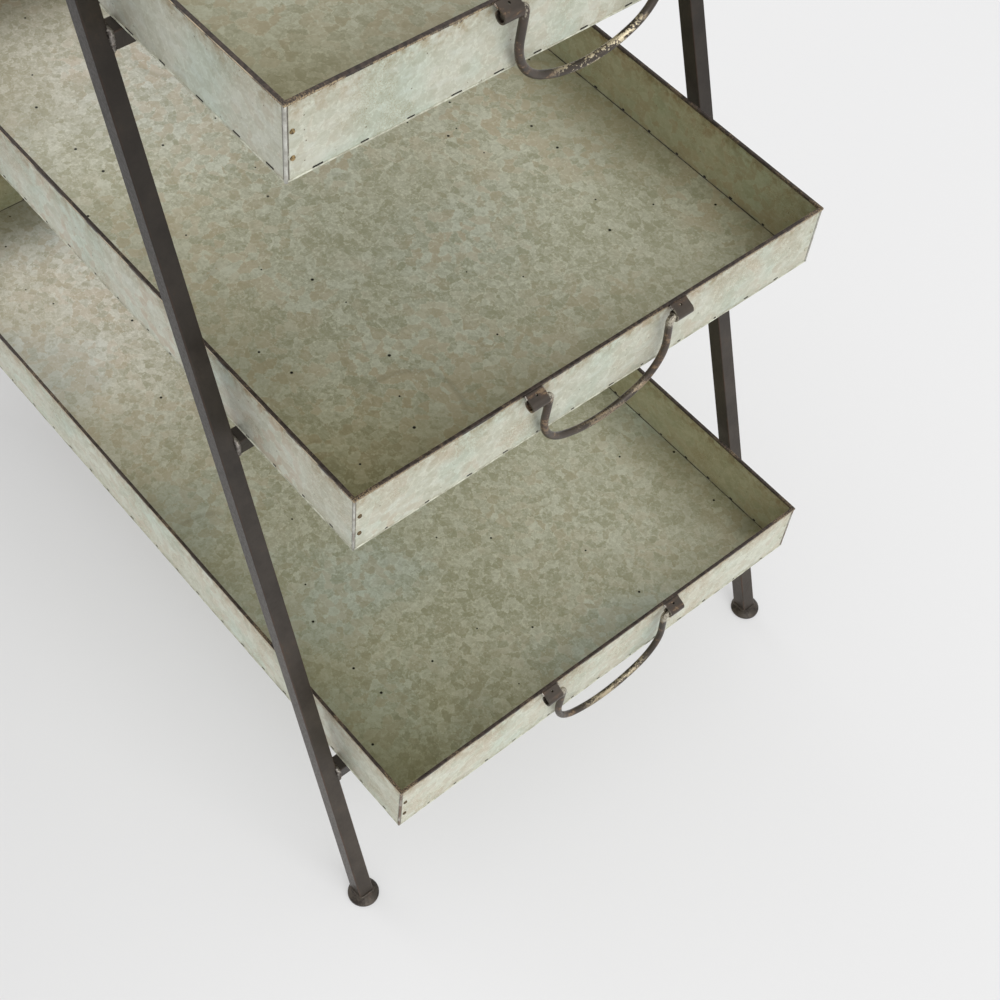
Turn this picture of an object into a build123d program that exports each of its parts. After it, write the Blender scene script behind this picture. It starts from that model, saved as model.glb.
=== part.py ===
"""Tiered plant stand: two A-shaped side frames that carry three lift-off galvanised trays.

Millimetres. +Z is up, the trays are long in X, and the origin is on the floor at the centre.
The front of the stand faces -Y, and its right end faces +X.
"""
import os
from math import acos, atan2, cos, radians, sin, tan

from build123d import *

# Driving dimensions: frame
BAR = 14.5                      # side of the square bar that the whole frame is made of
BAR_ROUND = 1.0                 # rounding of the bar's long edges
FRAME_Y = 245.5                 # centre plane of each side frame
FOOT_X = 374.0                  # leg's centre line at the floor
LEG_SLOPE = radians(20.35)      # leg's lean from the vertical
LEG_BOTTOM_Z = 2.0              # the bar stands in its foot, this far above the floor
APEX_Z = 1020.0                 # flat cut across the top of the two mitred legs
APEX_RAIL_Z = 1002.0            # centre of the rail that joins the two side frames
FOOT_R = 14.0
FOOT_CHAMFER = 1.0
FOOT_EDGE = 3.0                 # height of the foot's straight edge
FOOT_CROWN = (8.4, 6.4)         # a point on the foot's crown: (out from its middle, up)
FOOT_H = 7.5                    # height of the foot's crown at its middle

# Driving dimensions: trays
TRAY_WIDTH = 458.0              # over the walls, along Y
TRAY_DEPTH = 60.0               # from the underside of the floor to the top of the rim
SHEET = 1.2                     # galvanised sheet
TRAYS = {                       # name: (length over the walls, height of its underside)
    "bottom": (792.0, 155.0),
    "middle": (656.0, 482.0),
    "top": (520.0, 777.0),
}
RIM_SIDE = 0.8                  # thickness of the folded edging on each side of the wall
RIM_DROP = 2.4                  # how far the edging comes down the wall
RIM_ROUND = 0.5
FLANGE = 12.0                   # a long wall's folded end, riveted behind the end wall
FLANGE_TOP_DOWN = 5.0           # the flange stops this far below the rim's top
CORNER_RIVETS_UP = (17.0, 37.0)
CORNER_RIVET_IN = 5.0           # rivet's distance from the tray's corner
RIVET_R = 1.2
RIVET_HEAD_R = 1.9
RIVET_HEAD = 0.7
RIVET_TAPER = 25
STUD_R = 4.0                    # locating studs under the floor, just outside the bars
STUD_H = 8.0
STUD_ROUND = 2.5
STUD_GAP = 0.5
STUD_IN = 8.0                   # stud's distance from the tray's long side

# Driving dimensions: handles and their brackets
ROD_R = 3.0
BORE_R = 3.25
STRAP = 1.4                     # thickness of the bracket's strap
STRAP_WIDTH = 16.0
STRAP_INNER_Y = 63.0            # bracket's edge nearest the middle of the end wall
STRAP_TOP_DOWN = 1.5            # the strap leaves the edging this far below the rim's top
STRAP_STUB = 0.9                # level run of the strap before it slopes to its roll
STRAP_TILT = radians(23)        # slope of the strap between the edging and its roll
AXIS_OUT = 7.0                  # handle's hinge axis, outside the end wall
AXIS_DOWN = 8.0                 # handle's hinge axis, below the rim's top
ROLL_END = radians(150)         # where the rolled strap stops, past the inner side
STRAP_HOLE_R = 1.0
STRAP_HOLE_OUT = 4.6            # the strap's nail hole, outside the end wall
STRAP_HOLE_DOWN = 2.7
STRAP_HOLE_DEPTH = 3.5
ROD_CHAMFER = 0.8

# Handle's centre line, half of it: (distance from the middle, height above the hinge axis)
BAIL_HALF = [(77.5, 0.0), (59.0, 0.0), (63.0, -52.0)]
BAIL_LOW = (0.0, -80.0)
BAIL_POINTS = BAIL_HALF + [BAIL_LOW] + [(-y, z) for y, z in reversed(BAIL_HALF)]
BAIL_RADII = [3.6, 38.0, 92.0, 38.0, 3.6]

# Worked-out sizes
SLOPE_RATIO = tan(LEG_SLOPE)
LEG_HALF_X = BAR / 2 / cos(LEG_SLOPE)
FRAME_INNER_Y = FRAME_Y - BAR / 2
RIM_WIDTH = SHEET + 2 * RIM_SIDE
ENDS = {"right": 1, "left": -1}
SIDES = {"front": -1, "back": 1}

os.makedirs("parts", exist_ok=True)


def leg_x(z):
    """Distance of a leg's centre line from the stand's middle at height z."""
    return FOOT_X - SLOPE_RATIO * z


def save(part, label):
    """Name a finished piece and write it as its own file."""
    part.label = label
    export_step(part, f"parts/{label}.step")


def leg_profile(end, bottom_z):
    """Side outline of one leg, leaning towards x = 0 and mitred there."""
    inner_reach = (FOOT_X - LEG_HALF_X) / SLOPE_RATIO
    corners = [
        (leg_x(bottom_z) - LEG_HALF_X, bottom_z),
        (leg_x(bottom_z) + LEG_HALF_X, bottom_z),
        (leg_x(APEX_Z) + LEG_HALF_X, APEX_Z),
        (0, APEX_Z),
        (0, inner_reach),
    ]
    return [(end * x, z) for x, z in corners]


# Frame: four legs, each standing in its own round foot
for side_name, side in SIDES.items():
    for end_name, end in ENDS.items():
        leg_plane = Plane((0, side * FRAME_Y, 0), x_dir=(1, 0, 0), z_dir=(0, -1, 0))

        with BuildPart() as leg:
            with BuildSketch(leg_plane):
                with BuildLine():
                    Polyline(leg_profile(end, LEG_BOTTOM_Z), close=True)
                make_face()
            extrude(amount=BAR / 2, both=True)
            long_edges = leg.edges().filter_by(lambda edge: edge.length > APEX_Z / 2)
            fillet(long_edges, BAR_ROUND)
        save(leg.part, f"leg_{side_name}_{end_name}")

        foot_middle = (end * FOOT_X, side * FRAME_Y, 0)
        with BuildPart() as foot:
            with BuildSketch(Plane(foot_middle, x_dir=(1, 0, 0), z_dir=(0, -1, 0))):
                with BuildLine():
                    Polyline((0, FOOT_H), (0, 0), (FOOT_R - FOOT_CHAMFER, 0),
                             (FOOT_R, FOOT_CHAMFER), (FOOT_R, FOOT_EDGE))
                    ThreePointArc((FOOT_R, FOOT_EDGE), FOOT_CROWN, (0, FOOT_H))
                make_face()
            revolve(axis=Axis(foot_middle, (0, 0, 1)))
            add(leg.part, mode=Mode.SUBTRACT)
        save(foot.part, f"foot_{side_name}_{end_name}")

# Frame: square rails between the side frames, two under each tray and one under the apex
rail_places = {"apex_rail": (0, APEX_RAIL_Z)}
for tray_name, (length, base_z) in TRAYS.items():
    rail_z = base_z - BAR / 2
    for end_name, end in ENDS.items():
        rail_places[f"{tray_name}_tray_rail_{end_name}"] = (end * leg_x(rail_z), rail_z)

for rail_name, (rail_x, rail_z) in rail_places.items():
    with BuildPart() as rail:
        with BuildSketch(Plane((rail_x, 0, rail_z), x_dir=(1, 0, 0), z_dir=(0, -1, 0))):
            RectangleRounded(BAR, BAR, BAR_ROUND)
        extrude(amount=FRAME_INNER_Y, both=True)
    save(rail.part, rail_name)


def rivet(start, direction, grip):
    """A round-headed rivet: its head is on the outer face, and it grips what is behind."""
    with BuildPart() as made:
        with BuildSketch(Plane(start, z_dir=direction)):
            Circle(RIVET_HEAD_R)
        extrude(amount=RIVET_HEAD, taper=RIVET_TAPER)
        with BuildSketch(Plane(start, z_dir=direction)):
            Circle(RIVET_R)
        extrude(amount=-grip)
        with BuildSketch(Plane(start, z_dir=direction).offset(-grip)):
            Circle(RIVET_HEAD_R)
        extrude(amount=-RIVET_HEAD, taper=RIVET_TAPER)
    return made.part


def on_roll(angle):
    """A point on the centre line of the strap where it is rolled round the rod."""
    roll = BORE_R + STRAP / 2
    return AXIS_OUT + roll * cos(angle), roll * sin(angle) - AXIS_DOWN


def strap_section(plane):
    """Section of the bracket's strap: out from the edging, down a slope and rolled up."""
    bend = Vector(RIM_SIDE + STRAP_STUB, -STRAP_TOP_DOWN)
    to_bend = bend - Vector(AXIS_OUT, -AXIS_DOWN)
    roll = BORE_R + STRAP / 2
    start = atan2(to_bend.Y, to_bend.X) - acos(roll / to_bend.length)
    with BuildSketch(plane) as section:
        with BuildLine():
            Polyline((RIM_SIDE, -STRAP_TOP_DOWN), bend, on_roll(start))
            ThreePointArc(on_roll(start), on_roll(radians(-90)), on_roll(ROLL_END))
        trace(line_width=STRAP)
    return section.sketch


# Trays
for tray_name, (length, base_z) in TRAYS.items():
    tray = f"{tray_name}_tray"
    half_length = length / 2
    half_width = TRAY_WIDTH / 2
    top_z = base_z + TRAY_DEPTH
    wall_height = TRAY_DEPTH - RIM_SIDE

    # Rivets: two up each corner
    corner_rivets = []
    for end in ENDS.values():
        for side in SIDES.values():
            corner_y = side * (half_width - CORNER_RIVET_IN)
            for up in CORNER_RIVETS_UP:
                place = (end * half_length, corner_y, base_z + up)
                corner_rivets.append(rivet(place, (end, 0, 0), 2 * SHEET))
    save(Compound(children=corner_rivets), f"{tray}_corner_rivets")

    # Floor: one sheet inside the walls
    with BuildPart() as floor:
        with BuildSketch(Plane.XY.offset(base_z)):
            Rectangle(length - 2 * SHEET, TRAY_WIDTH - 2 * SHEET)
        extrude(amount=SHEET)
    save(floor.part, f"{tray}_floor")

    # End walls: flat sheets over the full width
    for end_name, end in ENDS.items():
        with BuildPart() as end_wall:
            with BuildSketch(Plane.XY.offset(base_z)):
                with Locations((end * (half_length - SHEET / 2), 0)):
                    Rectangle(SHEET, TRAY_WIDTH)
            extrude(amount=wall_height)
            add(corner_rivets, mode=Mode.SUBTRACT)
        save(end_wall.part, f"{tray}_{end_name}_wall")

    # Long walls: flat sheets between the end walls
    for side_name, side in SIDES.items():
        with BuildPart() as long_wall:
            with BuildSketch(Plane.XY.offset(base_z)):
                with Locations((0, side * (half_width - SHEET / 2))):
                    Rectangle(length - 2 * SHEET, SHEET)
            extrude(amount=wall_height)
        save(long_wall.part, f"{tray}_{side_name}_wall")

    # Corner flanges: the folded ends of the long walls, riveted behind the end walls
    with BuildPart() as flanges:
        with BuildSketch(Plane.XY.offset(base_z + SHEET)):
            with GridLocations(2 * half_length - 3 * SHEET, TRAY_WIDTH - 2 * SHEET - FLANGE, 2, 2):
                Rectangle(SHEET, FLANGE)
        extrude(amount=TRAY_DEPTH - SHEET - FLANGE_TOP_DOWN)
        add(corner_rivets, mode=Mode.SUBTRACT)
    save(flanges.part, f"{tray}_corner_flanges")

    # Rim: folded edging over the top of the walls, in four mitred lengths
    rim_lengths = []
    for turn, run, reach in ((0, half_length, half_width), (90, half_width, half_length)):
        for side in SIDES.values():
            plane = Plane.XY.offset(top_z - RIM_DROP).rotated((0, 0, turn))
            outer = reach + RIM_SIDE
            outer_run = run + RIM_SIDE
            inner = outer - RIM_WIDTH
            inner_run = outer_run - RIM_WIDTH
            with BuildPart() as rim:
                with BuildSketch(plane):
                    with BuildLine():
                        Polyline((-outer_run, side * outer), (outer_run, side * outer),
                                 (inner_run, side * inner), (-inner_run, side * inner),
                                 close=True)
                    make_face()
                extrude(amount=RIM_DROP)
                top_edges = rim.edges().group_by(Axis.Z)[-1]
                fillet(top_edges.filter_by(lambda edge: edge.length > run), RIM_ROUND)
                with BuildSketch(plane):
                    with Locations((0, side * (reach - SHEET / 2))):
                        Rectangle(2 * outer_run, SHEET)
                extrude(amount=RIM_DROP - RIM_SIDE, mode=Mode.SUBTRACT)
            rim_lengths.append(rim.part)
    save(Compound(children=rim_lengths), f"{tray}_rim")

    # Locating studs: they stand just outside the rails, so the tray can't slide endways
    stud_x = leg_x(base_z - BAR / 2) + BAR / 2 + STUD_GAP + STUD_R
    with BuildPart() as studs:
        with BuildSketch(Plane.XY.offset(base_z)):
            with GridLocations(2 * stud_x, 2 * (half_width - STUD_IN), 2, 2):
                Circle(STUD_R)
        extrude(amount=-STUD_H)
        fillet(studs.edges().group_by(Axis.Z)[0], STUD_ROUND)
    save(studs.part, f"{tray}_studs")

    # Brackets and handles: a pair of straps at each end, and the bail that hangs in them
    for end_name, end in ENDS.items():
        with BuildPart() as brackets:
            for side in SIDES.values():
                plane = Plane((end * half_length, side * STRAP_INNER_Y, top_z),
                              x_dir=(end, 0, 0), z_dir=(0, -end, 0))
                extrude(strap_section(plane), amount=STRAP_WIDTH, dir=(0, side, 0))
            for side in SIDES.values():
                hole = (end * (half_length + STRAP_HOLE_OUT),
                        side * (STRAP_INNER_Y + STRAP_WIDTH / 2), top_z - STRAP_HOLE_DOWN)
                square_on = (end * sin(STRAP_TILT), 0, cos(STRAP_TILT))
                with Locations(Plane(hole, z_dir=square_on)):
                    Cylinder(STRAP_HOLE_R, STRAP_HOLE_DEPTH, mode=Mode.SUBTRACT)
        save(brackets.part, f"{tray}_{end_name}_brackets")

        with BuildPart() as handle:
            axis_plane = Plane((end * (half_length + AXIS_OUT), 0, top_z - AXIS_DOWN),
                               x_dir=(0, end, 0), z_dir=(end, 0, 0))
            with BuildLine(axis_plane) as bail_line:
                FilletPolyline(BAIL_POINTS, radius=BAIL_RADII)
            rod_end = bail_line.line @ 0
            with BuildSketch(Plane(rod_end, z_dir=bail_line.line % 0)):
                Circle(ROD_R)
            sweep(path=bail_line.line)
            chamfer(handle.edges().filter_by(GeomType.CIRCLE).group_by(Axis.Y)[0], ROD_CHAMFER)
            chamfer(handle.edges().filter_by(GeomType.CIRCLE).group_by(Axis.Y)[-1], ROD_CHAMFER)
        save(handle.part, f"{tray}_{end_name}_handle")
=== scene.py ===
"""Looks of the tiered plant stand: materials, seams, beads, welds and a studio whose floor glows.

Metres, in the CAD model's frame: z = 0 is the floor, the trays run along X, the front faces -Y.
"""
import math
import random

import bpy
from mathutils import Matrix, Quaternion, Vector


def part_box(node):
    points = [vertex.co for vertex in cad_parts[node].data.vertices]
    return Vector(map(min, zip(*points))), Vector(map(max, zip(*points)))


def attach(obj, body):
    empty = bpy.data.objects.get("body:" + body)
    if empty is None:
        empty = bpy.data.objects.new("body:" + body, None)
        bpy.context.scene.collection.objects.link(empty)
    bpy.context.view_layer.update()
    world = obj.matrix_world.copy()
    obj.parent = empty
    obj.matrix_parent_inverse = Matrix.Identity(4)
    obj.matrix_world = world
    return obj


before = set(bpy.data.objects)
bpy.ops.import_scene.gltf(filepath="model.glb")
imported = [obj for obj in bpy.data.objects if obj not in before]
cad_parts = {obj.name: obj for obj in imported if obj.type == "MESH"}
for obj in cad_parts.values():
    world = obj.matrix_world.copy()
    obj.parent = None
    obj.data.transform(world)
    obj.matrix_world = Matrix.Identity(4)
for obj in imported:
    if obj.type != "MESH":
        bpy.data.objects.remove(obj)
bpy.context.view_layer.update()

MM = 0.001
TRAYS = ("bottom", "middle", "top")
ENDS = {"left": -1, "right": 1}
SIDES = {"front": -1, "back": 1}
UP = Vector((0, 0, 1))

# Sizes that the CAD model has too.
SHEET = 1.2 * MM
FLANGE = 12 * MM
BAR = 14.5 * MM
LEG_SLOPE = math.tan(math.radians(20.35))
STRAP_INNER_Y = 63 * MM
STRAP_SLOPE = math.tan(math.radians(23))

# Trim: bead radii, heights of hem and slots above a tray's base and of inside ticks above its floor,
# and the slots' shortest and longest lengths.
CORNER_BEAD = {"bottom": 0.95 * MM, "middle": 0.9 * MM, "top": 1.25 * MM}
HEM_LIFT = 0.85 * MM
SLOT_LIFT = 2.1 * MM
TICK_LIFT = 1.6 * MM
SLOT_PITCH = 34 * MM
SLOT_LENGTH = {
    "bottom": (2 * MM, 5 * MM),
    "middle": (2 * MM, 5 * MM),
    "top": (5.5 * MM, 8.5 * MM),
}

# Each tray's zinc: floor and wall make its floor and walls paler or darker as a whole; contrast, beige, cool
# and stain tell how it has aged.
GRIP_WEAR = {"bottom": 0.6, "middle": 0.2, "top": 1.0}
RIVET_SHINE = {"bottom": 0.35, "middle": 0.5, "top": 1.0}
BEAD_STAIN = {"bottom": 0.22, "middle": 0.08, "top": -0.06}
PIT_SHIFT = {"bottom": 0.0, "middle": 0.37, "top": 0.74}
TRAY_LOOK = {
    "bottom": {"floor": 1.13, "wall": 1.03, "contrast": 1.12, "beige": 0.45, "cool": 1.0, "stain": 0.5},
    "middle": {"floor": 1.18, "wall": 0.94, "contrast": 1.10, "beige": 0.60, "cool": 0.4, "stain": 0.9},
    "top": {"floor": 0.87, "wall": 0.88, "contrast": 1.05, "beige": 0.55, "cool": 0.2, "stain": 0.4},
}

TRAY_BOX = {}
for tray_name in TRAYS:
    low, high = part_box(f"{tray_name}_tray_floor")
    rim_low, rim_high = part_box(f"{tray_name}_tray_rim")
    TRAY_BOX[tray_name] = {
        "half_x": high.x + SHEET,
        "half_y": high.y + SHEET,
        "base": low.z,
        "top": rim_high.z,
        "rim": rim_low.z,
    }


def shade(colour, factor):
    """A colour made paler or darker."""
    return tuple(part * factor for part in colour)


# ---------------------------------------------------------------- node graphs

class Graph:
    """A material's nodes, added and linked by short calls."""

    def __init__(self, name):
        self.material = bpy.data.materials.new(name)
        self.material.use_nodes = True
        self.tree = self.material.node_tree
        self.shader = self.tree.nodes["Principled BSDF"]
        self.place = self.tree.nodes.new("ShaderNodeTexCoord").outputs["Object"]
        self.x, self.y, self.z = self.add("ShaderNodeSeparateXYZ", Vector=self.place).outputs

    def put(self, socket, value):
        if isinstance(value, bpy.types.NodeSocket):
            self.tree.links.new(value, socket)
        elif isinstance(value, tuple) and len(value) == 3 and socket.type == "RGBA":
            socket.default_value = (*value, 1)
        else:
            socket.default_value = value

    def add(self, kind, **inputs):
        node = self.tree.nodes.new(kind)
        for key, value in inputs.items():
            self.put(node.inputs[key.replace("_", " ")], value)
        return node

    def math(self, operation, a, b=0.0):
        node = self.tree.nodes.new("ShaderNodeMath")
        node.operation = operation
        self.put(node.inputs[0], a)
        self.put(node.inputs[1], b)
        return node.outputs[0]

    def plus(self, a, b):
        return self.math("ADD", a, b)

    def less(self, a, b):
        return self.math("SUBTRACT", a, b)

    def times(self, a, b):
        return self.math("MULTIPLY", a, b)

    def absolute(self, a):
        return self.math("ABSOLUTE", a)

    def stretched(self, scale, turn=(0, 0, 0), at=None):
        """Coordinates scaled along each axis after a turn."""
        node = self.add("ShaderNodeMapping", Vector=self.place if at is None else at)
        node.inputs["Rotation"].default_value = turn
        node.inputs["Scale"].default_value = scale
        return node.outputs[0]

    def turned(self, angle):
        """The object's own coordinates, turned about a slanting axis by an angle that may vary."""
        node = self.tree.nodes.new("ShaderNodeVectorRotate")
        node.rotation_type = "AXIS_ANGLE"
        node.inputs["Axis"].default_value = (0.577, 0.577, 0.577)
        self.put(node.inputs["Vector"], self.place)
        self.put(node.inputs["Angle"], angle)
        return node.outputs[0]

    def dots(self, pitch, radius, share, across, up):
        """Mask of sparse round dots of mixed sizes on a flat face, in a given share of the cells."""
        flat = self.add("ShaderNodeCombineXYZ", X=across, Y=up)
        node = self.tree.nodes.new("ShaderNodeTexVoronoi")
        node.voronoi_dimensions = "2D"
        self.put(node.inputs["Vector"], flat.outputs[0])
        self.put(node.inputs["Scale"], 1 / pitch)
        chance, spread, _ = self.add("ShaderNodeSeparateColor", Color=node.outputs["Color"]).outputs
        size = self.ramp(spread, 0.0, 1.0, 0.7 * radius / pitch, 1.3 * radius / pitch)
        fade = self.math("DIVIDE", node.outputs["Distance"], size)
        return self.times(self.ramp(fade, 1.25, 0.75), self.ramp(chance, share, share - 0.01))

    def warped(self, scale, reach):
        """The object's own coordinates, pushed about by noise, so that a pattern has soft ragged edges."""
        noise = self.add("ShaderNodeTexNoise", Vector=self.place, Scale=scale, Detail=3.0)
        centred = self.tree.nodes.new("ShaderNodeVectorMath")
        centred.operation = "SUBTRACT"
        self.put(centred.inputs[0], noise.outputs["Color"])
        centred.inputs[1].default_value = (0.5, 0.5, 0.5)
        pushed = self.tree.nodes.new("ShaderNodeVectorMath")
        pushed.operation = "MULTIPLY_ADD"
        self.put(pushed.inputs[0], centred.outputs[0])
        pushed.inputs[1].default_value = (reach, reach, reach)
        self.put(pushed.inputs[2], self.place)
        return pushed.outputs[0]

    def noise(self, scale, detail=3.0, roughness=0.55, at=None, distortion=0.0):
        node = self.add("ShaderNodeTexNoise", Scale=scale, Detail=detail, Roughness=roughness,
                        Distortion=distortion)
        self.put(node.inputs["Vector"], self.place if at is None else at)
        return node.outputs["Fac"]

    def cells(self, scale, at=None, feature="F1"):
        node = self.tree.nodes.new("ShaderNodeTexVoronoi")
        node.feature = feature
        self.put(node.inputs["Scale"], scale)
        self.put(node.inputs["Vector"], self.place if at is None else at)
        return node

    def ramp(self, value, low, high, to_low=0.0, to_high=1.0):
        """Smooth step of value from low to high."""
        node = self.tree.nodes.new("ShaderNodeMapRange")
        node.interpolation_type = "SMOOTHSTEP"
        self.put(node.inputs["Value"], value)
        self.put(node.inputs["From Min"], low)
        self.put(node.inputs["From Max"], high)
        self.put(node.inputs["To Min"], to_low)
        self.put(node.inputs["To Max"], to_high)
        return node.outputs[0]

    def mix(self, amount, a, b):
        node = self.tree.nodes.new("ShaderNodeMix")
        node.data_type = "RGBA"
        self.put(node.inputs[0], amount)
        self.put(node.inputs[6], a)
        self.put(node.inputs[7], b)
        return node.outputs[2]

    def tint(self, amount, a, filter_colour):
        """Colour a seen through a coloured film."""
        node = self.tree.nodes.new("ShaderNodeMix")
        node.data_type = "RGBA"
        node.blend_type = "MULTIPLY"
        self.put(node.inputs[0], amount)
        self.put(node.inputs[6], a)
        self.put(node.inputs[7], filter_colour)
        return node.outputs[2]

    def bump(self, height, distance):
        return self.add("ShaderNodeBump", Height=height, Distance=distance, Strength=1.0).outputs[0]

    def finish(self, colour, roughness, metallic=0.0, normal=None):
        self.put(self.shader.inputs["Base Color"], colour)
        self.put(self.shader.inputs["Roughness"], roughness)
        self.put(self.shader.inputs["Metallic"], metallic)
        if normal is not None:
            self.put(self.shader.inputs["Normal"], normal)
        return self.material


# ------------------------------------------------------------------ materials

def galvanised(graph, pale, deep, warm, contrast, beige_share):
    """Colour, roughness and height of old zinc.

    Each spangle flake has its own tone, a thin pale outline here and there, and its own
    direction of feathery crystals.
    """
    flake_scale = 120.0
    chip_scale = 260.0
    full_turn = 6.28
    middle_tone = 0.925
    bent = graph.warped(170.0, 6 * MM)
    flakes = graph.cells(flake_scale, at=bent)
    border = graph.cells(flake_scale, at=bent, feature="DISTANCE_TO_EDGE").outputs["Distance"]
    chips = graph.cells(chip_scale, at=graph.warped(300.0, 3 * MM))
    flake = graph.add("ShaderNodeSeparateColor", Color=flakes.outputs["Color"])
    chip = graph.add("ShaderNodeSeparateColor", Color=chips.outputs["Color"])
    combed = graph.stretched((120, 620, 620), at=graph.turned(graph.times(flake.outputs[2], full_turn)))
    feather = graph.noise(1.0, detail=4.0, roughness=0.6, at=combed)
    crystal = graph.noise(420.0, detail=4.0, roughness=0.65, distortion=0.8)
    cloud = graph.noise(9.0, detail=5.0, roughness=0.6)
    tone = graph.plus(graph.times(flake.outputs[0], 0.26), graph.times(chip.outputs[0], 0.16))
    tone = graph.plus(tone, graph.plus(graph.times(crystal, 0.45), graph.times(cloud, 0.45)))
    tone = graph.plus(tone, graph.times(feather, 0.5))
    spread = 0.32 / contrast
    colour = graph.mix(graph.ramp(tone, middle_tone - spread, middle_tone + spread), deep, pale)
    beige = graph.times(graph.ramp(flake.outputs[1], 0.5, 0.6), graph.ramp(cloud, 0.36, 0.6))
    colour = graph.mix(graph.times(beige, beige_share), colour, warm)
    outline = graph.times(graph.ramp(border, 0.11, 0.03), graph.ramp(crystal, 0.46, 0.58))
    colour = graph.mix(graph.times(outline, 0.45), colour, shade(pale, 1.12))
    rough = graph.plus(graph.ramp(feather, 0.3, 0.7, 0.36, 0.46), graph.times(chip.outputs[1], 0.08))
    height = graph.plus(graph.times(crystal, 0.5), graph.times(feather, 0.5))
    return colour, rough, height


def floor_sheet(tray):
    """Tray floor: grey-green zinc, pitted, ringed by pots; browner by its walls with grime and painted shade,
    and painted shade in its front right corner and towards -X.
    """
    place = TRAY_BOX[tray]
    look = TRAY_LOOK[tray]
    tone = look["floor"]
    graph = Graph(f"{tray}_galvanised_floor")
    colour, rough, height = galvanised(graph, pale=shade((0.58, 0.585, 0.47), tone),
                                       deep=shade((0.34, 0.335, 0.225), tone),
                                       warm=shade((0.47, 0.39, 0.26), tone),
                                       contrast=look["contrast"], beige_share=look["beige"])
    edge = graph.math("MINIMUM", graph.less(place["half_x"], graph.absolute(graph.x)),
                      graph.less(place["half_y"], graph.absolute(graph.y)))
    # Grime and painted shade: the floor darker and browner within 130 mm of the walls, in patches.
    grime_and_shade = graph.times(graph.ramp(edge, 0.13, 0.0), graph.ramp(graph.noise(8.0), 0.25, 0.6))
    colour = graph.mix(graph.times(grime_and_shade, 0.5), colour, shade((0.26, 0.24, 0.14), tone))
    # Painted shade: the floor darker and browner in its front right corner (+X, -Y).
    near_corner_shade = graph.times(graph.ramp(graph.less(place["half_x"], graph.x), 0.26, 0.0),
                              graph.ramp(graph.plus(place["half_y"], graph.y), 0.22, 0.0))
    colour = graph.tint(graph.times(near_corner_shade, 0.9), colour, (0.70, 0.65, 0.48))
    cool = graph.ramp(graph.noise(4.5), 0.46, 0.62)
    colour = graph.tint(graph.times(cool, look["cool"]), colour, (0.93, 1.0, 1.09))
    # Painted shade: the floor a little darker and less green towards -X.
    colour = graph.tint(graph.ramp(graph.x, 0.05, -0.22), colour, (0.95, 0.915, 0.99))
    ring = graph.cells(8.5, at=graph.warped(11.0, 12 * MM))
    band = graph.absolute(graph.less(ring.outputs["Distance"], 0.36))
    rings = graph.times(graph.ramp(band, 0.032, 0.006), graph.ramp(graph.noise(9.0), 0.5, 0.64))
    colour = graph.mix(graph.times(rings, 0.3), colour, (0.22, 0.205, 0.13))
    pits = graph.dots(pitch=32 * MM, radius=1 * MM, share=0.17,
                      across=graph.plus(graph.x, PIT_SHIFT[tray]), up=graph.y)
    colour = graph.mix(pits, colour, (0.012, 0.01, 0.006))
    return graph.finish(colour, rough, 0.6, graph.bump(height, 0.1 * MM))


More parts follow.
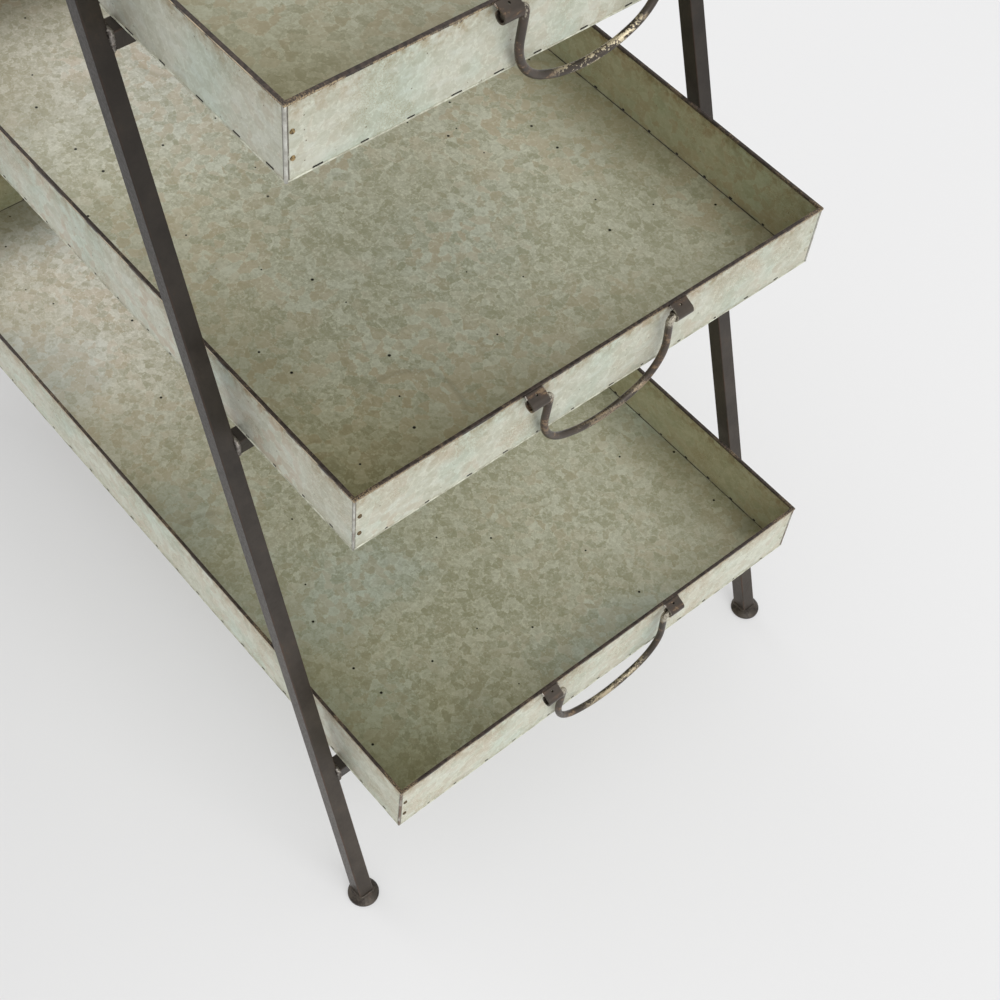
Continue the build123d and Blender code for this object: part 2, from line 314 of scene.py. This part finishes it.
def wall_sheet(tray):
    """Tray walls: paler, streaked zinc, stained under the rim, along the hem and beside the corners, with
    painted shade on their inside faces.
    """
    place = TRAY_BOX[tray]
    look = TRAY_LOOK[tray]
    tone = look["wall"]
    bead = CORNER_BEAD[tray]
    graph = Graph(f"{tray}_galvanised_wall")
    colour, rough, height = galvanised(graph, pale=shade((0.66, 0.67, 0.565), tone),
                                       deep=shade((0.50, 0.50, 0.39), tone),
                                       warm=shade((0.55, 0.48, 0.365), tone),
                                       contrast=1.05, beige_share=look["stain"])
    streaks = graph.noise(1.0, detail=4.0, roughness=0.65,
                          at=graph.stretched((60, 60, 150), (0.35, 0.35, 0)))
    colour = graph.mix(graph.ramp(streaks, 0.45, 0.7, 0.0, 0.4), colour,
                       shade((0.70, 0.72, 0.65), tone))
    cool = graph.ramp(graph.noise(16.0), 0.48, 0.66)
    colour = graph.tint(graph.times(cool, 0.9), colour, (0.92, 1.0, 1.01))
    drop = graph.less(place["rim"], graph.z)
    ragged = graph.noise(120.0, detail=4.0, roughness=0.7)
    fleck = graph.noise(900.0, roughness=0.7)
    stain = graph.times(graph.ramp(drop, 22 * MM, 0.0), graph.ramp(ragged, 0.38, 0.70))
    colour = graph.tint(graph.times(stain, 0.9), colour, (0.60, 0.47, 0.32))
    rust = graph.times(graph.ramp(graph.noise(22.0, detail=4.0), 0.49, 0.66),
                       graph.ramp(fleck, 0.42, 0.62))
    colour = graph.tint(graph.times(rust, 0.8), colour, (0.78, 0.66, 0.54))
    spill = graph.plus(drop, graph.plus(graph.times(ragged, -8 * MM), graph.times(fleck, -6 * MM)))
    spill = graph.times(graph.ramp(spill, -6.0 * MM, -7.2 * MM),
                        graph.ramp(graph.noise(34.0), 0.40, 0.52))
    colour = graph.mix(spill, colour, (0.07, 0.05, 0.04))
    foot = graph.times(graph.ramp(graph.less(graph.z, place["base"]), 12 * MM, 0.0),
                       graph.ramp(graph.noise(60.0), 0.45, 0.75))
    colour = graph.mix(graph.times(foot, 0.5), colour, (0.27, 0.24, 0.16))
    across_x = graph.less(place["half_x"], graph.absolute(graph.x))
    across_y = graph.less(place["half_y"], graph.absolute(graph.y))
    corner = graph.math("MAXIMUM", across_x, across_y)
    seam = graph.times(graph.ramp(corner, 2.3 * bead, 1.8 * bead), graph.ramp(ragged, 0.25, 0.45))
    colour = graph.mix(graph.times(seam, 0.9), colour, (0.07, 0.055, 0.042))
    # Painted shade: the inside faces of the walls darker and browner than the outside ones.
    inside = graph.ramp(graph.math("MINIMUM", across_x, across_y), SHEET / 3, SHEET * 2 / 3)
    colour = graph.tint(inside, colour, (0.70, 0.675, 0.53))
    specks = graph.dots(pitch=11 * MM, radius=0.45 * MM, share=0.16,
                        across=graph.plus(graph.x, graph.y), up=graph.z)
    colour = graph.mix(graph.times(specks, 0.8), colour, (0.12, 0.09, 0.05))
    return graph.finish(colour, rough, 0.35, graph.bump(height, 0.08 * MM))


def rim_iron(tray):
    """Folded edging: dark brown, rubbed to brass on its outer faces, with faint pale runs on the long sides."""
    place = TRAY_BOX[tray]
    graph = Graph(f"{tray}_rim_iron")
    grain = graph.noise(300.0, detail=4.0, roughness=0.65)
    broad = graph.noise(30.0, detail=4.0, roughness=0.6)
    colour = graph.mix(graph.ramp(grain, 0.35, 0.7), (0.030, 0.022, 0.018), (0.080, 0.058, 0.046))
    past_x = graph.less(graph.absolute(graph.x), place["half_x"])
    past_y = graph.less(graph.absolute(graph.y), place["half_y"])
    out = graph.math("MAXIMUM", past_x, past_y)
    corner = graph.times(graph.math("MINIMUM", past_x, past_y), -1.0)
    below = graph.less(place["top"], graph.z)
    edge = graph.times(graph.ramp(out, 0.1 * MM, 0.5 * MM), graph.ramp(below, 0.6 * MM, 1.2 * MM))
    wear = graph.plus(graph.plus(broad, graph.times(grain, 0.35)),
                      graph.ramp(corner, 35 * MM, 0.0, 0.0, 0.22))
    fleck = graph.noise(1000.0, roughness=0.7)
    worn = graph.times(graph.times(edge, graph.ramp(wear, 0.54, 0.72)), graph.ramp(fleck, 0.38, 0.52))
    colour = graph.mix(graph.times(worn, 0.9), colour, (0.46, 0.36, 0.22))
    lip = graph.times(graph.ramp(below, 0.8 * MM, 1.1 * MM), graph.ramp(below, 2.0 * MM, 1.7 * MM))
    lip = graph.times(lip, graph.ramp(past_y, 0.4 * MM, 0.6 * MM))
    lip = graph.times(lip, graph.ramp(broad, 0.40, 0.52))
    colour = graph.mix(graph.times(lip, 0.9), colour, (0.74, 0.62, 0.42))
    rubbed = graph.times(graph.ramp(wear, 0.70, 0.88), graph.ramp(fleck, 0.46, 0.58))
    colour = graph.mix(graph.times(rubbed, 0.75), colour, (0.34, 0.25, 0.14))
    rough = graph.ramp(grain, 0.3, 0.7, 0.38, 0.55)
    return graph.finish(colour, rough, 0.4, graph.bump(grain, 0.2 * MM))


def dark_iron(graph, edge=None):
    """Satin bronze-brown iron: fine grain, rust-brown mottling and, where given, rubbed edges."""
    grain = graph.noise(420.0, roughness=0.6)
    broad = graph.noise(28.0, detail=5.0, roughness=0.65)
    colour = graph.mix(graph.ramp(broad, 0.3, 0.7), (0.036, 0.030, 0.025), (0.056, 0.047, 0.039))
    rust = graph.times(graph.ramp(broad, 0.56, 0.7), graph.ramp(grain, 0.4, 0.65))
    colour = graph.mix(graph.times(rust, 0.3), colour, (0.11, 0.062, 0.034))
    if edge is not None:
        worn = graph.times(edge, graph.ramp(graph.noise(70.0, detail=4.0), 0.35, 0.6))
        colour = graph.mix(graph.times(worn, 0.5), colour, (0.075, 0.042, 0.028))
    rough = graph.ramp(grain, 0.3, 0.7, 0.36, 0.5)
    height = graph.plus(grain, graph.times(broad, 2.0))
    return colour, rough, height


def bar_edge(graph, across, along):
    """Mask of a square bar's long edges, from the distances off its centre line along its two sides."""
    nearest = graph.math("MINIMUM", graph.absolute(across), graph.absolute(along))
    return graph.ramp(nearest, BAR / 2 - 1.4 * MM, BAR / 2 - 0.4 * MM)


def leg_iron():
    """Legs: edges that lean with them, and darker iron towards the top."""
    graph = Graph("leg_iron")
    low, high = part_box("leg_front_right")
    lean = math.atan(LEG_SLOPE)
    foot_x = high.x - BAR / 2 / math.cos(lean) + low.z * LEG_SLOPE
    centre = graph.less(foot_x, graph.times(graph.z, LEG_SLOPE))
    across = graph.times(graph.less(graph.absolute(graph.x), centre), math.cos(lean))
    along = graph.less(graph.absolute(graph.y), -(low.y + high.y) / 2)
    colour, rough, height = dark_iron(graph, bar_edge(graph, across, along))
    colour = graph.tint(graph.ramp(graph.z, 0.45, 0.05), colour, (1.4, 1.36, 1.3))
    colour = graph.tint(graph.ramp(graph.z, 0.35, 0.75), colour, (0.55, 0.52, 0.48))
    return graph.finish(colour, graph.less(rough, 0.06), 0.5, graph.bump(height, 0.12 * MM))


def rail_iron(name, rail):
    """Rails: level square bars."""
    graph = Graph(name)
    low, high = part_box(rail)
    across = graph.less(graph.absolute(graph.x), abs(low.x + high.x) / 2)
    along = graph.less(graph.z, (low.z + high.z) / 2)
    colour, rough, height = dark_iron(graph, bar_edge(graph, across, along))
    return graph.finish(colour, rough, 0.45, graph.bump(height, 0.12 * MM))


def foot_iron():
    """Feet and their collars: browner than the legs, with dark and rusty blotches."""
    graph = Graph("foot_iron")
    colour, rough, height = dark_iron(graph)
    colour = graph.tint(1.0, colour, (1.35, 1.3, 1.2))
    blotch = graph.noise(95.0, detail=4.0, roughness=0.65)
    colour = graph.mix(graph.ramp(blotch, 0.50, 0.40, 0.0, 0.85), colour, (0.022, 0.016, 0.012))
    colour = graph.mix(graph.ramp(blotch, 0.55, 0.70, 0.0, 0.6), colour, (0.115, 0.075, 0.055))
    return graph.finish(colour, rough, 0.4, graph.bump(height, 0.15 * MM))


def handle_iron(tray):
    """Handles, brackets and studs: satin brown iron with rust, bright knuckles and a worn cream grip."""
    graph = Graph(f"{tray}_handle_iron")
    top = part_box(f"{tray}_tray_right_handle")[1].z
    colour, rough, height = dark_iron(graph)
    colour = graph.tint(1.0, colour, (1.4, 1.35, 1.28))
    soft = graph.noise(1.0, detail=4.0, roughness=0.6, at=graph.stretched((150, 40, 150)))
    fleck = graph.noise(650.0, roughness=0.7)
    colour = graph.mix(graph.ramp(soft, 0.46, 0.64, 0.0, 0.5), colour, (0.115, 0.068, 0.045))
    gold = graph.ramp(graph.plus(soft, graph.times(fleck, 0.45)), 0.80, 0.90)
    colour = graph.mix(graph.times(gold, 0.6), colour, (0.30, 0.21, 0.12))
    aside = graph.absolute(graph.y)
    below = graph.less(top, graph.z)
    knuckle = graph.times(graph.ramp(aside, 54.5 * MM, 57.5 * MM), graph.ramp(aside, 64 * MM, 62.5 * MM))
    knuckle = graph.times(knuckle, graph.ramp(below, 12 * MM, 7 * MM))
    bright = graph.times(knuckle, graph.ramp(graph.plus(fleck, graph.noise(70.0)), 0.90, 1.06))
    colour = graph.mix(graph.times(bright, 0.85), colour, (0.48, 0.44, 0.35))
    grip = graph.times(graph.ramp(graph.y, -36 * MM, -12 * MM), graph.ramp(graph.y, 52 * MM, 36 * MM))
    grip = graph.times(grip, graph.ramp(below, 30 * MM, 45 * MM))
    cream = graph.times(grip, graph.ramp(graph.plus(soft, graph.times(fleck, 0.9)), 0.93, 1.02))
    colour = graph.mix(graph.times(cream, GRIP_WEAR[tray]), colour, (0.62, 0.54, 0.37))
    rough = graph.less(rough, 0.05)
    return graph.finish(colour, rough, 0.5, graph.bump(height, 0.1 * MM))


def rivet_brass(tray):
    """Rivets: rust-gold heads, darker on the lower trays, still zinc-coated at two opposite corners."""
    graph = Graph(f"{tray}_rivets")
    grain = graph.noise(700.0)
    bright = shade((0.38, 0.27, 0.12), RIVET_SHINE[tray])
    colour = graph.mix(graph.ramp(grain, 0.35, 0.65), (0.06, 0.035, 0.015), bright)
    coated = graph.ramp(graph.times(graph.x, graph.y), 0.0, 0.001)
    colour = graph.mix(coated, colour, (0.50, 0.49, 0.39))
    rough = graph.ramp(grain, 0.3, 0.7, 0.45, 0.7)
    return graph.finish(colour, rough, 0.4, graph.bump(grain, 0.2 * MM))


def bead_zinc(tray):
    """Corner beads: smoother zinc, stained brown, most of all on the lower trays."""
    graph = Graph(f"{tray}_bead_zinc")
    grain = graph.noise(150.0, detail=4.0, roughness=0.7)
    colour = graph.mix(graph.ramp(grain, 0.3, 0.7), (0.34, 0.33, 0.29), (0.60, 0.60, 0.55))
    brown = graph.ramp(graph.plus(graph.noise(90.0, detail=4.0), BEAD_STAIN[tray]), 0.55, 0.85)
    colour = graph.mix(brown, colour, (0.17, 0.11, 0.07))
    rough = graph.ramp(grain, 0.3, 0.7, 0.3, 0.5)
    return graph.finish(colour, rough, 0.5, graph.bump(grain, 0.1 * MM))


def hem_zinc():
    """Rolled hem along the foot of the walls."""
    graph = Graph("hem_zinc")
    grain = graph.noise(120.0, detail=4.0, roughness=0.7)
    colour = graph.mix(graph.ramp(grain, 0.35, 0.65), (0.36, 0.35, 0.27), (0.66, 0.67, 0.56))
    rough = graph.ramp(grain, 0.3, 0.7, 0.4, 0.6)
    return graph.finish(colour, rough, 0.3, graph.bump(grain, 0.1 * MM))


def grime_and_shade():
    """Dark dirt along the seams between floor and walls."""
    graph = Graph("grime_and_shade")
    grain = graph.noise(500.0)
    broad = graph.noise(45.0)
    colour = graph.mix(graph.ramp(grain, 0.3, 0.7), (0.028, 0.025, 0.02), (0.085, 0.077, 0.058))
    colour = graph.mix(graph.ramp(broad, 0.5, 0.7, 0.0, 0.8), colour, (0.20, 0.185, 0.13))
    return graph.finish(colour, 0.85, 0.0, graph.bump(grain, 0.2 * MM))


def slot_shadow():
    """Darkness inside the slots and ticks along the hem."""
    graph = Graph("slot_shadow")
    grain = graph.noise(500.0)
    colour = graph.mix(graph.ramp(grain, 0.3, 0.7), (0.010, 0.009, 0.007), (0.035, 0.03, 0.024))
    return graph.finish(colour, 0.9, 0.0, graph.bump(grain, 0.2 * MM))


def weld_steel():
    """Weld beads: brighter than the bars, with brown heat tints."""
    graph = Graph("weld_steel")
    grain = graph.noise(300.0)
    heat = graph.noise(120.0)
    colour = graph.mix(graph.ramp(grain, 0.3, 0.7), (0.11, 0.095, 0.085), (0.42, 0.39, 0.35))
    colour = graph.mix(graph.ramp(heat, 0.5, 0.7, 0.0, 0.7), colour, (0.20, 0.12, 0.06))
    rough = graph.ramp(grain, 0.3, 0.7, 0.3, 0.45)
    return graph.finish(colour, rough, 0.75, graph.bump(grain, 0.3 * MM))


# --------------------------------------------------------------- mesh helpers

def new_piece(name, points, faces, material, body, smooth=True):
    """A mesh object in the CAD frame, riding on a CAD body."""
    mesh = bpy.data.meshes.new(name)
    mesh.from_pydata([tuple(p) for p in points], [], faces)
    mesh.validate()
    mesh.update()
    mesh.polygons.foreach_set("use_smooth", [smooth] * len(mesh.polygons))
    mesh.materials.append(material)
    piece = bpy.data.objects.new(name, mesh)
    bpy.context.scene.collection.objects.link(piece)
    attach(piece, body)
    return piece


def add_tube(points, faces, path, radii, normal, sides=10, closed=False):
    """A round tube along a path whose cross-sections all contain the given normal's direction."""
    start = len(points)
    count = len(path)
    for i, spot in enumerate(path):
        ahead = path[(i + 1) % count] if closed or i + 1 < count else spot
        behind = path[i - 1] if closed or i > 0 else spot
        along = (ahead - behind).normalized()
        across = along.cross(normal).normalized()
        up = across.cross(along)
        for k in range(sides):
            angle = 2 * math.pi * k / sides
            points.append(spot + (across * math.cos(angle) + up * math.sin(angle)) * radii[i])
    loops = count if closed else count - 1
    for i in range(loops):
        a = start + i * sides
        b = start + (i + 1) % count * sides
        for k in range(sides):
            n = (k + 1) % sides
            faces.append((a + k, a + n, b + n, b + k))
    if not closed:
        faces.append(tuple(start + k for k in reversed(range(sides))))
        faces.append(tuple(start + (count - 1) * sides + k for k in range(sides)))


def add_slot(points, faces, centre, along, up, length, height, depth):
    """A thin round-ended plate on a wall: its face stands depth off the wall."""
    out = along.cross(up)
    start = len(points)
    arc_steps = 6
    outline = []
    for end in (1, -1):
        for k in range(arc_steps + 1):
            angle = math.pi * (k / arc_steps - 0.5) + (0 if end > 0 else math.pi)
            run = end * (length - height) / 2 + height / 2 * math.cos(angle)
            outline.append(along * run + up * (height / 2 * math.sin(angle)))
    for lift in (-0.3 * depth, depth):
        for offset in outline:
            points.append(centre + offset + out * lift)
    count = len(outline)
    for k in range(count):
        n = (k + 1) % count
        faces.append((start + k, start + n, start + count + n, start + count + k))
    faces.append(tuple(start + k for k in reversed(range(count))))
    faces.append(tuple(start + count + k for k in range(count)))


def spaced(rng, low, high, pitch, jitter):
    """Places between low and high, about a pitch apart."""
    places = []
    spot = low + pitch * rng.uniform(0.3, 0.7)
    while spot < high:
        places.append(spot)
        spot += pitch + rng.uniform(-jitter, jitter)
    return places


# --------------------------------------------------------------------- pieces

def outer_walls(place):
    """Outer face of each wall: a point at its middle, the way along it, half its length, the way out."""
    return [
        (Vector((0, -place["half_y"], 0)), Vector((1, 0, 0)), place["half_x"], Vector((0, -1, 0))),
        (Vector((0, place["half_y"], 0)), Vector((-1, 0, 0)), place["half_x"], Vector((0, 1, 0))),
        (Vector((place["half_x"], 0, 0)), Vector((0, 1, 0)), place["half_y"], Vector((1, 0, 0))),
        (Vector((-place["half_x"], 0, 0)), Vector((0, -1, 0)), place["half_y"], Vector((-1, 0, 0))),
    ]


def corner_beads(tray, material):
    """A rolled bead up each corner of a tray, from the hem to the rim."""
    place = TRAY_BOX[tray]
    points, faces = [], []
    low = place["base"] + 0.2 * MM
    high = place["rim"] + 0.2 * MM
    steps = 14
    radius = CORNER_BEAD[tray]
    for end in ENDS.values():
        for side in SIDES.values():
            path = []
            radii = []
            for i in range(steps + 1):
                z = low + (high - low) * i / steps
                path.append(Vector((end * (place["half_x"] - 0.4 * radius),
                                    side * (place["half_y"] - 0.4 * radius), z)))
                radii.append(radius * (1 + 0.06 * math.sin(i * 2.4)))
            add_tube(points, faces, path, radii, Vector((end, 0, 0)), sides=14)
    return new_piece(f"{tray}_corner_beads", points, faces, material, f"{tray}_tray")


def hem(tray, material):
    """The floor sheet's rolled hem, round the foot of the four walls."""
    place = TRAY_BOX[tray]
    points, faces = [], []
    steps = 60
    for middle, along, half, _ in outer_walls(place):
        path, radii = [], []
        for i in range(steps + 1):
            run = -half + 2 * half * i / steps
            path.append(middle + along * run + UP * (place["base"] + HEM_LIFT))
            radii.append((0.65 + 0.06 * math.sin(i * 1.7)) * MM)
        add_tube(points, faces, path, radii, UP)
    return new_piece(f"{tray}_hem", points, faces, material, f"{tray}_tray")


def hem_slots(tray, material, seed):
    """Short dark slots where the floor's tabs pass through the walls, and ticks along their inside: flat plates
    of painted shade.
    """
    place = TRAY_BOX[tray]
    rng = random.Random(seed)
    points, faces = [], []
    shortest, longest = SLOT_LENGTH[tray]
    for middle, along, half, out in outer_walls(place):
        reach = half - FLANGE
        for run in spaced(rng, -reach, reach, SLOT_PITCH, 6 * MM):
            centre = middle + along * run + UP * (place["base"] + SLOT_LIFT)
            add_slot(points, faces, centre, along, UP, length=rng.uniform(shortest, longest),
                     height=rng.uniform(0.8, 1.3) * MM, depth=0.22 * MM)
        reach = half - 2 * FLANGE
        inner = middle - out * SHEET
        for run in spaced(rng, -reach, reach, SLOT_PITCH, 4 * MM):
            centre = inner + along * run + UP * (place["base"] + SHEET + TICK_LIFT)
            add_slot(points, faces, centre, -along, UP, length=rng.uniform(2.5, 4) * MM,
                     height=1.7 * MM, depth=0.25 * MM)
    return new_piece(f"{tray}_hem_slots", points, faces, material, f"{tray}_tray",
                     smooth=False)


def floor_seam(tray, material, seed):
    """Dirt line where the floor meets the walls inside."""
    place = TRAY_BOX[tray]
    rng = random.Random(seed)
    points, faces = [], []
    level = UP * (place["base"] + SHEET)
    off_corner = 0.15 * MM
    steps = 80
    for middle, along, half, out in outer_walls(place):
        inner = middle - out * SHEET
        on_end = abs(out.x) > 0.5
        reach = half - SHEET - (FLANGE if on_end else SHEET)
        path, radii = [], []
        for i in range(steps + 1):
            run = -reach + 2 * reach * i / steps
            path.append(inner + along * run + level + (UP - out) * off_corner)
            radii.append(rng.uniform(0.4, 0.65) * MM)
        add_tube(points, faces, path, radii, UP, sides=8)
    return new_piece(f"{tray}_floor_seam", points, faces, material, f"{tray}_tray")


def add_weld_ring(points, faces, centre, across, up, half_across, half_up, radius, depth, rng):
    """A weld bead round a bar's rectangular section, with ripples of a given relative depth."""
    corner = 1.5 * MM
    ripple = 1.1 * MM
    path = []
    corners = [(1, 1), (-1, 1), (-1, -1), (1, -1)]
    for i, (a, b) in enumerate(corners):
        c, d = corners[(i + 1) % len(corners)]
        start = across * (a * half_across) + up * (b * half_up)
        end = across * (c * half_across) + up * (d * half_up)
        run = (end - start).normalized()
        length = (end - start).length
        steps = max(2, int((length - 2 * corner) / ripple * 2))
        for k in range(steps + 1):
            path.append(centre + start + run * (corner + (length - 2 * corner) * k / steps))
    radii = [radius * (1 - depth * (k % 2) + depth * rng.uniform(-0.3, 0.6)) for k in range(len(path))]
    add_tube(points, faces, path, radii, across.cross(up), closed=True)


def weld_beads(material):
    """Weld beads where the rails meet the legs, and up the mitres at the top of the legs."""
    rng = random.Random(31)
    points, faces = [], []
    inset = 0.6 * MM
    mitre = 31 * MM
    steps = 40
    rails = ["apex_rail"] + [f"{tray}_tray_rail_{end}" for tray in TRAYS for end in ENDS]
    for rail in rails:
        low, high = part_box(rail)
        middle = (low + high) / 2
        for y in (low.y + inset, high.y - inset):
            add_weld_ring(points, faces, Vector((middle.x, y, middle.z)), Vector((1, 0, 0)), UP,
                          BAR / 2, BAR / 2, 2.0 * MM, 0.28, rng)
    for side in SIDES:
        low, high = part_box(f"leg_{side}_right")
        for y in (low.y, high.y):
            path = [Vector((0, y, high.z - 1 * MM - mitre * k / steps)) for k in range(steps + 1)]
            radii = [(0.9 + 0.35 * (k % 2)) * MM for k in range(steps + 1)]
            add_tube(points, faces, path, radii, Vector((0, 1, 0)))
    return new_piece("weld_beads", points, faces, material, "frame")


def foot_collars(material):
    """Smooth run of iron where each leg enters its foot."""
    rng = random.Random(47)
    points, faces = [], []
    for side in SIDES:
        for end, sign in ENDS.items():
            low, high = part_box(f"foot_{side}_{end}")
            centre = (low + high) / 2
            level = high.z - 1.2 * MM
            lean = -sign * level * LEG_SLOPE
            add_weld_ring(points, faces, Vector((centre.x + lean, centre.y, level)),
                          Vector((1, 0, 0)), Vector((0, 1, 0)), BAR / 2 + 0.3 * MM, BAR / 2 - 0.1 * MM,
                          1.7 * MM, 0.05, rng)
    return new_piece("foot_collars", points, faces, material, "frame")


def bracket_welds(tray, material):
    """Dabs of weld at both ends of each bracket, where it meets the edging."""
    rng = random.Random(61)
    points, faces = [], []
    steps = 6
    sink = 0.9 * MM
    for end, sign in ENDS.items():
        low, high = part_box(f"{tray}_tray_{end}_brackets")
        start_x = low.x if sign > 0 else high.x
        for side in SIDES.values():
            for y in (high.y, STRAP_INNER_Y):
                path, radii = [], []
                for i in range(steps + 1):
                    out = (0.2 + 3.2 * i / steps) * MM
                    path.append(Vector((start_x + sign * out, side * y,
                                        high.z - sink - out * STRAP_SLOPE)))
                    radii.append((1.15 - 0.1 * i + rng.uniform(-0.2, 0.2)) * MM)
                add_tube(points, faces, path, radii, Vector((0, 1, 0)))
    return new_piece(f"{tray}_bracket_welds", points, faces, material, f"{tray}_tray")


# --------------------------------------------------------------------- studio

def add_camera():
    """Camera above the front right corner, rolled a little."""
    place = Vector((0.8557, -0.6557, 1.4948))
    aim = Vector((0.3662, -0.1296, 0.5))
    roll = math.radians(7.88)
    data = bpy.data.cameras.new("camera")
    data.lens = 63.33
    data.sensor_width = 36
    data.clip_start = 0.05
    camera = bpy.data.objects.new("camera", data)
    bpy.context.scene.collection.objects.link(camera)
    camera.location = place
    camera.rotation_mode = "QUATERNION"
    camera.rotation_quaternion = (aim - place).to_track_quat("-Z", "Y") @ Quaternion(UP, roll)
    bpy.context.scene.camera = camera


def add_area_light(name, place, aim, power):
    """A large soft square light."""
    data = bpy.data.lights.new(name, "AREA")
    data.shape = "SQUARE"
    data.size = 3.0
    data.energy = power
    light = bpy.data.objects.new(name, data)
    bpy.context.scene.collection.objects.link(light)
    light.location = place
    light.rotation_mode = "QUATERNION"
    light.rotation_quaternion = (Vector(aim) - Vector(place)).to_track_quat("-Z", "Y")


def floor_paint_and_glow():
    """Grey paint that glows, a little more towards +X +Y: a pale floor on which shadows stay faint."""
    graph = Graph("studio_floor")
    weakest, strongest = 0.25, 0.385
    colour = graph.mix(graph.noise(1.2, detail=2.0), (0.44, 0.44, 0.44), (0.46, 0.46, 0.46))
    # Painted light: the floor's own glow, stronger towards +X +Y.
    glow = graph.ramp(graph.plus(graph.x, graph.y), -0.9, 0.35, weakest, strongest)
    graph.shader.inputs["Emission Color"].default_value = (0.99, 0.99, 1.0, 1)
    graph.put(graph.shader.inputs["Emission Strength"], glow)
    return graph.finish(colour, 0.9)


def add_studio():
    """Grey floor that glows pale, in white surroundings, with two soft lights."""
    mesh = bpy.data.meshes.new("studio_floor")
    reach = 30
    mesh.from_pydata([(-reach, -reach, 0), (reach, -reach, 0), (reach, reach, 0), (-reach, reach, 0)],
                     [], [(0, 1, 2, 3)])
    mesh.materials.append(floor_paint_and_glow())
    floor = bpy.data.objects.new("studio_floor", mesh)
    bpy.context.scene.collection.objects.link(floor)

    world = bpy.data.worlds.new("studio")
    world.use_nodes = True
    background = world.node_tree.nodes["Background"]
    background.inputs["Color"].default_value = (1.0, 1.0, 1.0, 1)
    background.inputs["Strength"].default_value = 0.76
    bpy.context.scene.world = world
    add_area_light("key", place=(3.0, -0.3, 2.6), aim=(0, 0, 0.3), power=62)
    add_area_light("fill", place=(-3.0, -0.3, 2.3), aim=(0, 0, 0.4), power=36)
    bpy.context.scene.view_settings.view_transform = "Standard"


# -------------------------------------------------------------------- dressing

def finish_node(name, material):
    """Give a CAD node its finished material."""
    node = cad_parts[name]
    for slot in node.material_slots:
        slot.material = material


def dress_frame(weld_metal):
    """Legs, feet, rails and their welds."""
    legs = leg_iron()
    feet = foot_iron()
    for side in SIDES:
        for end in ENDS:
            finish_node(f"leg_{side}_{end}", legs)
            finish_node(f"foot_{side}_{end}", feet)
    finish_node("apex_rail", rail_iron("apex_rail_iron", "apex_rail"))
    for tray in TRAYS:
        material = rail_iron(f"{tray}_rail_iron", f"{tray}_tray_rail_right")
        for end in ENDS:
            finish_node(f"{tray}_tray_rail_{end}", material)
    foot_collars(feet)
    weld_beads(weld_metal)


def dress_trays(weld_metal):
    """Every tray with its handles and trim."""
    hem_metal = hem_zinc()
    dirt = grime_and_shade()
    shadow = slot_shadow()
    for number, tray in enumerate(TRAYS):
        wall = wall_sheet(tray)
        iron = handle_iron(tray)
        finish_node(f"{tray}_tray_floor", floor_sheet(tray))
        for wall_name in ("front", "back", "left", "right"):
            finish_node(f"{tray}_tray_{wall_name}_wall", wall)
        finish_node(f"{tray}_tray_rim", rim_iron(tray))
        finish_node(f"{tray}_tray_corner_rivets", rivet_brass(tray))
        finish_node(f"{tray}_tray_corner_flanges", wall)
        finish_node(f"{tray}_tray_studs", iron)
        for end in ENDS:
            finish_node(f"{tray}_tray_{end}_brackets", iron)
            finish_node(f"{tray}_tray_{end}_handle", iron)
        corner_beads(tray, bead_zinc(tray))
        bracket_welds(tray, weld_metal)
        hem(tray, hem_metal)
        hem_slots(tray, shadow, 100 + number)
        floor_seam(tray, dirt, 200 + number)


add_camera()
add_studio()
metal = weld_steel()
dress_frame(metal)
dress_trays(metal)
